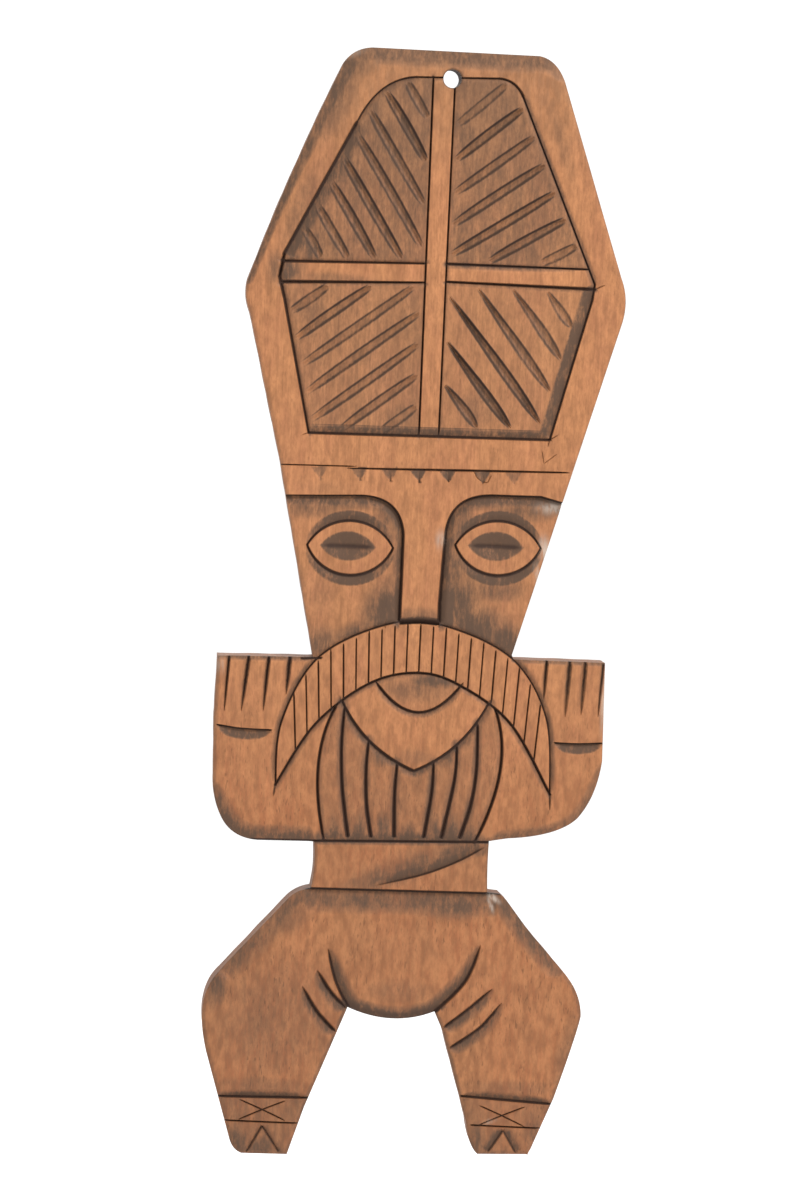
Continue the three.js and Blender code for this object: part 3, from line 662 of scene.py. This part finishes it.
def lay_out():
    """The points and edges that the triangles of the front are made from."""
    lines = [resampled(closed(SILHOUETTE), LINE_STEP), closed(HOLE)]
    parts = (closed(PANEL), BAR_LEFT, BAR_RIGHT, CROSS_TOP, CROSS_BOTTOM, HAT_BOTTOM, BROW_LEFT,
             BROW_RIGHT, closed(MOUSTACHE), LIP_LINE, CHIN_LINE, BEARD_LEFT, BEARD_RIGHT, HEM,
             SASH_BOTTOM, SHOE_LEFT_TOP, SHOE_RIGHT_TOP, *NOSE_FOOT, *ARM_TOPS)
    lines += [resampled(part, LINE_STEP) for part in parts]
    lines += [evenly(closed(np.vstack(lids)), LINE_STEP) for lids in LIDS.values()]
    lines += [evenly(line, LINE_STEP) for pupil in PUPILS.values() for line in pupil]
    starts, stops = (np.vstack([line[s] for line in lines]) for s in (slice(-1), slice(1, None)))
    for one in cuts:
        if one["lines"]:
            lines += [line for line in rims(one) if not lies_on(line, starts, stops)]
    low, high = SILHOUETTE.min(0), SILHOUETTE.max(0)
    rows = np.arange(low[1], high[1], GRID * math.sqrt(3) / 2)
    columns = np.arange(low[0], high[0], GRID)
    x, z = np.meshgrid(columns, rows)
    x = x + (np.arange(len(rows)) % 2)[:, None] * GRID / 2
    grid = np.stack([x.ravel(), z.ravel()], 1)
    on_lines = np.vstack(lines)
    cell = GRID / 2
    shape = np.ceil((high - low) / cell).astype(int) + 5
    taken = np.zeros(shape, bool)
    at = np.floor((on_lines - low) / cell).astype(int) + 2
    at = at[((at > 0) & (at < shape - 1)).all(1)]
    for dx in (-1, 0, 1):
        for dz in (-1, 0, 1):
            taken[at[:, 0] + dx, at[:, 1] + dz] = True
    here = np.floor((grid - low) / cell).astype(int) + 2
    grid = grid[~taken[here[:, 0], here[:, 1]]]
    grid = grid[inside(SILHOUETTE, grid)]
    points, edges = [grid], []
    count = len(grid)
    for line in lines:
        points.append(line)
        edges += [(count + i, count + i + 1) for i in range(len(line) - 1)]
        count += len(line)
    return np.vstack(points), edges


def below(line, points):
    """Which points lie under a line that runs from left to right."""
    return points[:, 1] < np.interp(points[:, 0], line[:, 0], line[:, 1])


def at_height(line, z):
    """How far to the right a line that runs from top to bottom is at each height."""
    return np.interp(z, line[::-1, 1], line[::-1, 0])


def part_names(points):
    """The relief part that each point of the front belongs to."""
    x, z = points.T
    name = np.full(len(points), "trousers", dtype="U24")
    left = x < -3
    hat = ~below(HAT_BOTTOM, points)
    hem = below(HEM, points)
    sash_low = below(SASH_BOTTOM, points)
    shoe = np.where(left, below(SHOE_LEFT_TOP, points), below(SHOE_RIGHT_TOP, points))
    name[hem & ~sash_low] = "sash"
    name[sash_low & shoe & left] = "shoe_left"
    name[sash_low & shoe & ~left] = "shoe_right"
    above_hem = ~hem & ~hat
    cheek_left = np.vstack([BROW_LEFT, [[-10.3, -215], [-90, -215], [-90, -151]]])
    cheek_right = np.vstack([BROW_RIGHT, [[4.2, -215], [90, -215], [90, -151]]])
    arm_top = np.where(left, below(ARM_TOPS[0], points), below(ARM_TOPS[1], points))
    name[above_hem] = "forehead_and_nose"
    name[above_hem & inside(cheek_left, points)] = "cheek_left"
    name[above_hem & inside(cheek_right, points)] = "cheek_right"
    name[above_hem & arm_top & left] = "arm_left"
    name[above_hem & arm_top & ~left] = "arm_right"
    name[above_hem & inside(BEARD, points)] = "beard"
    name[above_hem & inside(CHIN, points)] = "chin"
    name[above_hem & inside(LIP, points)] = "lower_lip"
    name[inside(MOUSTACHE, points)] = "moustache"
    for eye, lids in LIDS.items():
        name[inside(np.vstack(lids), points)] = eye
    panel = inside(PANEL, points)
    name[hat] = "hat_border"
    bar = panel & (x > at_height(BAR_LEFT, z)) & (x < at_height(BAR_RIGHT, z))
    over, under = ~below(CROSS_TOP, points), below(CROSS_BOTTOM, points)
    for rows_in, height in ((over, "upper"), (under, "lower")):
        name[panel & rows_in & left] = f"hat_field_{height}_left"
        name[panel & rows_in & ~left] = f"hat_field_{height}_right"
    name[panel & ~over & ~under & left] = "hat_cross_bar_left"
    name[panel & ~over & ~under & ~left] = "hat_cross_bar_right"
    name[bar] = "hat_upright_bar"
    return name


def triangulate():
    """The points and triangles of the whole front, and the middle of each triangle."""
    points, edges = lay_out()
    made, _, faces, *_ = delaunay_2d_cdt([Vector(p) for p in points], edges, [], 0, 1e-4)
    made = np.array([tuple(v) for v in made])
    faces = np.array([f for f in faces if len(f) == 3])
    a, b, c = (made[faces[:, k]] for k in range(3))
    turned = np.cross(b - a, c - a)
    faces, turned = faces[np.abs(turned) > 1e-9], turned[np.abs(turned) > 1e-9]
    faces[turned < 0] = faces[turned < 0][:, ::-1]
    middle = made[faces].mean(1)
    kept = inside(SILHOUETTE, middle) & ~inside(HOLE, middle)
    return made, faces[kept], middle[kept]


def reach_of(path, points, reach):
    """The points within reach of a path: which, how far, on which side, and how far along."""
    low, high = path.min(0) - reach, path.max(0) + reach
    near = np.flatnonzero(((points > low) & (points < high)).all(1))
    q = points[near]
    best = np.full(len(q), np.inf)
    side, along = np.zeros(len(q)), np.zeros(len(q))
    lengths, starts, total = stations(path)
    for a, b, length, start in zip(path[:-1], path[1:], lengths, starts):
        if length < 1e-9:
            continue
        box = (np.abs(q - (a + b) / 2) < np.abs(b - a) / 2 + reach).all(1)
        k = np.flatnonzero(box)
        way, gap = b - a, q[k] - a
        t = np.clip(gap @ way / length**2, 0, 1)
        far = np.hypot(*(gap - t[:, None] * way).T)
        closer = far < best[k] - 1e-9
        k, t, far, gap = k[closer], t[closer], far[closer], gap[closer]
        best[k] = far
        side[k] = np.sign(way[0] * gap[:, 1] - way[1] * gap[:, 0])
        along[k] = (start + t * length) / total
    ok = best < reach
    return near[ok], best[ok], side[ok], along[ok]


def carve(points, owner):
    """How deep each point lies under the highest face, and its stain, painted shade and paleness."""
    depth, stain, painted_shade, pale = (np.zeros(len(points)) for _ in range(4))
    for name, (_, tone) in FACES.items():
        stain[owner == name] = tone
    for one in cuts:
        widest = one["width"] * (one["swell"](np.linspace(0, 1, 33)).max() if one["swell"] else 1)
        i, far, side, t = reach_of(one["path"], points, widest * one["reach"] + 0.01)
        if one["side"] != BOTH:
            on = (side * one["side"] > 0) | (far < 0.05)
            i, far, t = i[on], far[on], t[on]
        if one["square"]:
            on = (t > 0) & (t < 1)
            i, far, t = i[on], far[on], t[on]
        width = np.maximum(width_at(one, t), 1e-6)
        share = np.clip(1 - far / width, 0, 1)
        deep = 1 - (1 - share) ** 2 if one["round_bottom"] else share ** one["power"]
        size = size_at(t, one["ends"])
        np.maximum.at(depth, i, one["depth"] * size * deep)
        spread = np.clip(1 - far / (width * one["reach"]), 0, 1)
        tone = np.minimum(1, one["edge"] * spread) * size
        stain[i] = np.maximum(stain[i], one["stain"] * tone)
        # Painted shade, darkest along the bottom of the cut
        painted_shade[i] = np.maximum(painted_shade[i], one["painted_shade"] * np.minimum(1, 1.5 * share) * size)
    for part, x, z, across, along, strength, c, s in stain_and_shade_patches:
        i = np.flatnonzero(np.char.startswith(owner, part))
        gap = points[i] - [x, z]
        u, v = (gap[:, 0] * c + gap[:, 1] * s) / across, (gap[:, 1] * c - gap[:, 0] * s) / along
        patch = abs(strength) * np.exp(-0.9 * (u * u + v * v) ** 1.2)
        kind = stain if strength > 0 else pale
        kind[i] = np.maximum(kind[i], patch)
    for upper, lower in PUPILS.values():
        outline = np.vstack([upper, lower[1:]])
        i, far, _, _ = reach_of(outline, points, 8)
        i, far = (v[inside(outline, points[i])] for v in (i, far))
        z = points[i, 1] - outline[0, 1]
        depth[i] = np.maximum(depth[i], far * PUPIL_FALL)
        # Stain deepening inwards from the outline, heavier on the upper facet as painted shade on
        # the facet that faces down
        stain[i] = np.maximum(stain[i], np.clip(far * 1.5, 0, 1) * np.where(z > -0.6, 1.15, 0.92))
        # A band of painted shade along the middle of the pupil, where its two facets meet
        painted_shade[i] = np.maximum(painted_shade[i], 0.6 * np.exp(-((z / 1.1) ** 2)) * np.clip(far / 2.5, 0, 1))
    return depth, stain, painted_shade, pale


def unevenness(points):
    """The long shallow facets that a knife leaves on a face worked by hand."""
    x, z = points.T
    return (
        0.07 * np.sin(x * 0.21 + 1.3 * np.sin(z * 0.043))
        + 0.06 * np.sin(z * 0.13 + 1.7 * np.sin(x * 0.07 + 0.6))
        + 0.03 * np.sin(x * 0.9 + z * 0.21 + 2.0 * np.sin(z * 0.11))
    )


# How far the face of a part lies below the highest faces, and the stain left all over it
FACES = {
    "hat_field_upper_left": (0.35, 0.44), "hat_field_upper_right": (0.3, 0.42),
    "hat_field_lower_left": (0.3, 0.26), "hat_field_lower_right": (0.3, 0.17),
    "cheek_left": (0.45, 0.04), "cheek_right": (0.45, 0.05), "sash": (0.5, 0.12),
    "beard": (0.25, 0.2), "chin": (0.1, 0), "lower_lip": (0.15, 0.12), "eye_left": (0.25, 0),
    "eye_right": (0.25, 0), "trousers": (0, 0.06), "shoe_left": (0, 0.4),
    "shoe_right": (0, 0.28), "arm_left": (0, 0.05), "arm_right": (0, 0.04),
}


def outlines_of(faces):
    """The closed rings of edges round a set of triangles, each in the order of the triangles."""
    edges = np.vstack([faces[:, [0, 1]], faces[:, [1, 2]], faces[:, [2, 0]]])
    pairs = {(int(a), int(b)) for a, b in edges}
    after = {}
    for a, b in pairs:
        if (b, a) not in pairs:
            after.setdefault(a, []).append(b)
    rings = []
    while after:
        start = next(iter(after))
        ring, at = [], start
        while at in after:
            ring.append(at)
            following = after[at].pop()
            if not after[at]:
                del after[at]
            at = following
        rings.append(ring)
    return rings


def filled(rings):
    """Triangles over the ground between closed rings, as places in the rings put end to end."""
    edges, start = [], 0
    for ring in rings:
        edges += [(start + k, start + (k + 1) % len(ring)) for k in range(len(ring))]
        start += len(ring)
    ground = [Vector(p) for p in np.vstack(rings)]
    made, _, faces, origins, *_ = delaunay_2d_cdt(ground, edges, [], 0, 1e-5)
    made = np.array([tuple(v) for v in made])
    faces = np.array([f for f in faces if len(f) == 3 and all(origins[v] for v in f)])
    middle = made[faces].mean(1)
    within = np.zeros(len(faces), bool)
    for ring in rings:
        within ^= inside(ring, middle)
    return [[origins[v][0] for v in f] for f in faces[within]]


def band(upper, lower):
    """The faces between two rings that have the same number of points."""
    return [(upper[k - 1], upper[k], lower[k], lower[k - 1]) for k in range(len(upper))]


def build(name, verts, faces, stain, painted_shade, pale):
    """A piece that rides on the board and stands for its CAD node."""
    mesh = bpy.data.meshes.new(name)
    mesh.from_pydata(verts.tolist(), [], faces)
    for key, values in (("stain", stain), ("painted_shade", painted_shade), ("pale", pale)):
        attribute = mesh.attributes.new(key, "FLOAT", "POINT")
        attribute.data.foreach_set("value", np.asarray(values, np.float32))
    mesh.validate()
    mesh.shade_smooth()
    mesh.set_sharp_from_angle(angle=SMOOTH_UNDER)
    piece = bpy.data.objects.new(f"{name}_carved", mesh)
    bpy.context.scene.collection.objects.link(piece)
    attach(piece, "root")
    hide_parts(name)
    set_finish(piece, "stained_wood" if "field" in name or "cheek" in name else "waxed_wood")
    return piece


def relief_pieces():
    """The parts of the relief, each with its carved top, upright sides and flat foot."""
    points, faces, middle = triangulate()
    owner = part_names(middle)
    vertex_owner = part_names(points)
    depth, stain, painted_shade, pale = carve(points, vertex_owner)
    level = np.zeros(len(points))
    for name, (drop, _) in FACES.items():
        level[vertex_owner == name] = drop
    high = THICKNESS - SANDED + unevenness(points) - np.maximum(level, depth)
    pieces = []
    for name in sorted(set(owner)):
        own = faces[owner == name]
        used, flat = np.unique(own, return_inverse=True)
        own = flat.reshape(-1, 3)
        top = np.stack([points[used, 0], -high[used], points[used, 1]], 1)
        rings = outlines_of(own)
        order = np.concatenate(rings)
        foot = np.stack([points[used[order], 0], np.full(len(order), -GROUND),
                         points[used[order], 1]], 1)
        made = [tuple(f) for f in own]
        base = start = len(used)
        for ring in rings:
            made += band(range(start, start + len(ring)), ring)
            start += len(ring)
        for a, b, c in filled([points[used[ring]] for ring in rings]):
            made.append((base + a, base + c, base + b))
        rim = used[order]
        pieces.append(
            build(name, np.vstack([top, foot]) * MM, made,
                  np.r_[stain[used], np.full(len(order), SIDE_STAIN)],
                  np.r_[painted_shade[used], painted_shade[rim] * RIM_SHADE], np.r_[pale[used], pale[rim]])
        )
    return pieces


def core_piece():
    """The board itself: sides, a softly rounded back rim and the drilled hole."""
    outline = resampled(closed(SILHOUETTE), BOARD_STEP)[:-1]
    way = np.roll(outline, -1, 0) - np.roll(outline, 1, 0)
    way /= np.hypot(*way.T)[:, None]
    inward = np.stack([way[:, 1], -way[:, 0]], 1)
    along = np.cumsum(np.hypot(*(outline - np.roll(outline, 1, 0)).T))
    rings, verts, faces, stain = [], [], [], []
    for y, inset in ((GROUND, 0), (8.5, 0.04), (5, 0.05), (2, 0.05), (0.7, 0.1), (0.25, 0.35),
                     (0, 0.8)):
        wave = 0.05 * np.sin(along * 0.5 + y * 0.9) + 0.04 * np.sin(along * 0.17 - y * 0.4)
        shift = inset + (wave + 0.09) * (0 < y < GROUND)
        ring = outline + inward * np.broadcast_to(shift, len(outline))[:, None]
        rings.append(range(len(verts), len(verts) + len(ring)))
        verts += [(x, -y, z) for x, z in ring]
        stain += [0.42 if y > 0.5 else 0.3] * len(ring)
    for upper, lower in zip(rings[:-1], rings[1:]):
        faces += band(upper, lower)
    bore = []
    # The bore and its chamfer on the back are stained darker inwards, as painted shade inside the
    # hole
    for y, wider, tone in ((GROUND, 0, 0.75), (0.5, 0, 0.75), (0, 0.35, 0.6), (0, 1.2, 0.3)):
        bore.append(range(len(verts), len(verts) + len(HOLE)))
        verts += [(x, -y, z) for x, z in HOLE * (1 + wider / HOLE_RADIUS)]
        stain += [tone] * len(HOLE)
    for upper, lower in zip(bore[:-1], bore[1:]):
        faces += band(upper[::-1], lower[::-1])
    for outer, inner, back in ((rings[0], bore[0], False), (rings[-1], bore[-1], True)):
        ids = [*outer, *inner]
        flat = [np.array([[verts[i][0], verts[i][2]] for i in ring]) for ring in (outer, inner)]
        for a, b, c in filled(flat):
            faces.append((ids[a], ids[c], ids[b]) if back else (ids[a], ids[b], ids[c]))
    none = np.zeros(len(verts))
    return build("core_board", np.array(verts) * MM, faces, stain, none, none)


# ---------------------------------------------------------------- wood

GREY_BROWN = (0.07, 0.041, 0.026)
# Near-black colour of the painted shade in the cuts and pupils
SHADE_BLACK = (0.026, 0.0125, 0.008)
CHALKY = (0.42, 0.35, 0.29)


def tinted(colour, shares):
    return tuple(c * share for c, share in zip(colour, shares))


def shaded(colour, share):
    return tuple(min(1, c * share) for c in colour)


def wood(name, orange, brown, stain_colour):
    """Fine upright grain with short dark flecks, the stain left in the cuts, and painted shade along
    their bottoms.
    """
    material = bpy.data.materials.new(name)
    material.use_nodes = True
    nodes, links = material.node_tree.nodes, material.node_tree.links
    shader = nodes["Principled BSDF"]

    def value(source, *steps):
        """A number put through simple sums: ("MULTIPLY", 0.5), ("ADD", other socket) and so on."""
        at = source
        for kind, by in steps:
            sum_node = nodes.new("ShaderNodeMath")
            sum_node.operation = kind
            links.new(at, sum_node.inputs[0])
            if isinstance(by, (int, float)):
                sum_node.inputs[1].default_value = by
            else:
                links.new(by, sum_node.inputs[1])
            at = sum_node.outputs[0]
        return at

    def ranged(source, low, high, to_low=0.0, to_high=1.0):
        made = nodes.new("ShaderNodeMapRange")
        made.interpolation_type = "SMOOTHSTEP"
        links.new(source, made.inputs["Value"])
        for key, number in (("From Min", low), ("From Max", high), ("To Min", to_low),
                            ("To Max", to_high)):
            made.inputs[key].default_value = number
        return made.outputs["Result"]

    def mixed(amount, a, b):
        made = nodes.new("ShaderNodeMix")
        made.data_type = "RGBA"
        for socket, source in ((made.inputs[0], amount), (made.inputs[6], a), (made.inputs[7], b)):
            if isinstance(source, float):
                socket.default_value = source
            elif isinstance(source, tuple):
                socket.default_value = (*source, 1)
            else:
                links.new(source, socket)
        return made.outputs[2]

    def noise(scale, detail=3.0, rough=0.55, distortion=0.0):
        stretch = nodes.new("ShaderNodeMapping")
        stretch.inputs["Scale"].default_value = scale
        links.new(place, stretch.inputs["Vector"])
        made = nodes.new("ShaderNodeTexNoise")
        for key, number in (("Scale", 1.0), ("Detail", detail), ("Roughness", rough),
                            ("Distortion", distortion)):
            made.inputs[key].default_value = number
        links.new(stretch.outputs[0], made.inputs["Vector"])
        return made.outputs["Fac"]

    def attribute(key):
        made = nodes.new("ShaderNodeAttribute")
        made.attribute_name = key
        return made.outputs["Fac"]

    place = nodes.new("ShaderNodeTexCoord").outputs["Object"]
    height = nodes.new("ShaderNodeSeparateXYZ")
    links.new(place, height.inputs[0])
    handled = ranged(height.outputs["Z"], -0.2, -0.29)
    dusty = ranged(height.outputs["Z"], -0.05, 0.01)
    bands = ranged(noise((150, 150, 9), 2.0, 0.5, 0.4), 0.35, 0.65)
    patches = ranged(noise((45, 45, 17), 3.0, 0.55), 0.3, 0.7)
    fibres = noise((1500, 1500, 80), 3.0, 0.65)
    streaks = noise((800, 800, 150), 2.0, 0.6, 0.3)
    ripples = ranged(noise((420, 420, 160), 2.0, 0.5), 0.3, 0.7)
    tints = ranged(noise((80, 80, 30), 2.0, 0.5), 0.35, 0.65)
    fleck_places = ranged(noise((90, 90, 40), 2.0, 0.5), 0.38, 0.6)
    flecks = ranged(noise((1700, 1700, 330), 1.5, 0.5), 0.6, 0.7)
    flecks = value(flecks, ("MULTIPLY", fleck_places))
    speckle = noise((1100, 1100, 520), 4.0, 0.7)
    smear = noise((170, 170, 90), 3.0, 0.6)

    flecks = value(handled, ("MULTIPLY", 0.35), ("ADD", 0.25), ("MULTIPLY", flecks))
    base = mixed(bands, orange, brown)
    for amount, colour in (
        (value(patches, ("MULTIPLY", 0.5)), shaded(brown, 0.8)),
        (value(tints, ("MULTIPLY", 0.3)), tinted(brown, (1.0, 0.84, 1.1))),
        (value(handled, ("MULTIPLY", 0.86)), tinted(brown, (0.76, 0.575, 0.52))),
        (value(dusty, ("MULTIPLY", 0.75)), tinted(brown, (0.62, 0.76, 0.92))),
        (value(patches, ("MULTIPLY", handled), ("MULTIPLY", 0.7)), shaded(brown, 0.62)),
        (ranged(fibres, 0.32, 0.68, 0.0, 0.52), shaded(brown, 0.6)),
        (ranged(streaks, 0.38, 0.64, 0.0, 0.4), shaded(brown, 0.62)),
        (value(ripples, ("MULTIPLY", 0.3)), shaded(orange, 1.35)),
        (ranged(speckle, 0.42, 0.62, 0.0, 0.28), shaded(brown, 0.55)),
        (flecks, shaded(brown, 0.3)),
    ):
        base = mixed(amount, base, colour)

    left = attribute("stain")
    grit = value(ranged(speckle, 0.35, 0.65), ("MULTIPLY", 0.22), ("ADD", 0.38))
    thread = value(ranged(streaks, 0.35, 0.65), ("MULTIPLY", 0.36), ("ADD", grit))
    cloud = value(ranged(smear, 0.25, 0.7), ("MULTIPLY", 0.45), ("ADD", thread))
    amount = ranged(value(left, ("MULTIPLY", cloud)), 0.02, 0.98, 0.0, 0.92)
    thin = mixed(0.5, base, stain_colour)
    coloured = mixed(ranged(left, 0.0, 0.35, 0.0, 0.5), base, thin)
    coloured = mixed(amount, coloured, stain_colour)
    # Painted shade, near black, along the bottoms of the cuts and in the pupils
    coloured = mixed(ranged(attribute("painted_shade"), 0.05, 0.7, 0.0, 0.94), coloured, SHADE_BLACK)
    rubbed = value(ranged(streaks, 0.3, 0.6, 0.25, 1.0), ("MULTIPLY", attribute("pale")))
    coloured = mixed(rubbed, coloured, CHALKY)
    links.new(coloured, shader.inputs["Base Color"])

    gloss = value(fibres, ("MULTIPLY", 0.16), ("ADD", 0.46))
    gloss = value(amount, ("MULTIPLY", 0.2), ("ADD", gloss))
    links.new(gloss, shader.inputs["Roughness"])
    shader.inputs["Specular IOR Level"].default_value = 0.22

    fine = value(speckle, ("MULTIPLY", 0.35))
    grain = value(fibres, ("MULTIPLY", 0.7), ("ADD", fine))
    grain = value(flecks, ("MULTIPLY", -0.6), ("ADD", grain))
    bump = nodes.new("ShaderNodeBump")
    bump.inputs["Strength"].default_value = 0.5
    bump.inputs["Distance"].default_value = 0.00012
    links.new(grain, bump.inputs["Height"])
    links.new(bump.outputs["Normal"], shader.inputs["Normal"])
    return material


WOODS = {
    "waxed_wood": wood("waxed_wood", (0.418, 0.18, 0.0735), (0.328, 0.1365, 0.0555), GREY_BROWN),
    "stained_wood": wood("stained_wood", (0.408, 0.177, 0.0725), (0.318, 0.1335, 0.0545),
                         (0.066, 0.039, 0.025)),
}
for piece in [*relief_pieces(), core_piece()]:
    piece.data.materials.append(WOODS[piece["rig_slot"]])

# ---------------------------------------------------------------- floor, light, camera

FLOOR = -0.62
FLOOR_HALF = 12
MIDDLE = (-0.0079, -0.0075, -0.18786)
CAMERA_AROUND, CAMERA_ABOVE, CAMERA_ROLL = (math.radians(a) for a in (-4.5, 4.5, 2.6))
CAMERA_AWAY = 1.6


def floor():
    h = FLOOR_HALF
    mesh = bpy.data.meshes.new("floor")
    mesh.from_pydata([(-h, -h, 0), (h, -h, 0), (h, h, 0), (-h, h, 0)], [], [(0, 1, 2, 3)])
    plane = bpy.data.objects.new("floor", mesh)
    plane.location.z = FLOOR
    bpy.context.scene.collection.objects.link(plane)
    pale = bpy.data.materials.new("pale_floor")
    pale.use_nodes = True
    shader = pale.node_tree.nodes["Principled BSDF"]
    shader.inputs["Base Color"].default_value = (0.93, 0.93, 0.93, 1)
    shader.inputs["Roughness"].default_value = 0.9
    mesh.materials.append(pale)


def lamp(name, place, size, power):
    """A round soft lamp that shines on the middle of the plaque."""
    data = bpy.data.lights.new(name, "AREA")
    data.shape = "DISK"
    data.size = size
    data.energy = power
    light = bpy.data.objects.new(name, data)
    light.location = place
    aim = Vector((0, 0, -0.19)) - Vector(place)
    light.rotation_euler = aim.to_track_quat("-Z", "Y").to_euler()
    bpy.context.scene.collection.objects.link(light)


def camera():
    """A long lens, a little to the left of the plaque and above it, and turned on its axis."""
    data = bpy.data.cameras.new("camera")
    data.sensor_width = 36
    data.lens = 132.6
    data.clip_start, data.clip_end = 0.05, 60
    eye = bpy.data.objects.new("camera", data)
    bpy.context.scene.collection.objects.link(eye)
    level = math.cos(CAMERA_ABOVE)
    back = Vector((math.sin(CAMERA_AROUND) * level, -math.cos(CAMERA_AROUND) * level,
                   math.sin(CAMERA_ABOVE)))
    right = Vector((0, 0, 1)).cross(back).normalized()
    up = back.cross(right)
    turned_right = right * math.cos(CAMERA_ROLL) + up * math.sin(CAMERA_ROLL)
    turned_up = up * math.cos(CAMERA_ROLL) - right * math.sin(CAMERA_ROLL)
    place = Vector(MIDDLE) + back * CAMERA_AWAY
    eye.matrix_world = Matrix(
        [[turned_right[i], turned_up[i], back[i], place[i]] for i in range(3)] + [[0, 0, 0, 1]]
    )
    bpy.context.scene.camera = eye


floor()
lamp("key", (0.9, -0.95, 1.0), 0.5, 24)
lamp("fill", (-1.3, -1.2, 0.1), 1.4, 3)
lamp("rim", (-0.3, 1.5, 0.9), 1.2, 8)
camera()

world = bpy.data.worlds.new("studio")
world.use_nodes = True
world.node_tree.nodes["Background"].inputs["Color"].default_value = (1, 1, 1, 1)
world.node_tree.nodes["Background"].inputs["Strength"].default_value = 1.12
bpy.context.scene.world = world
bpy.context.scene.view_settings.view_transform = "Standard"
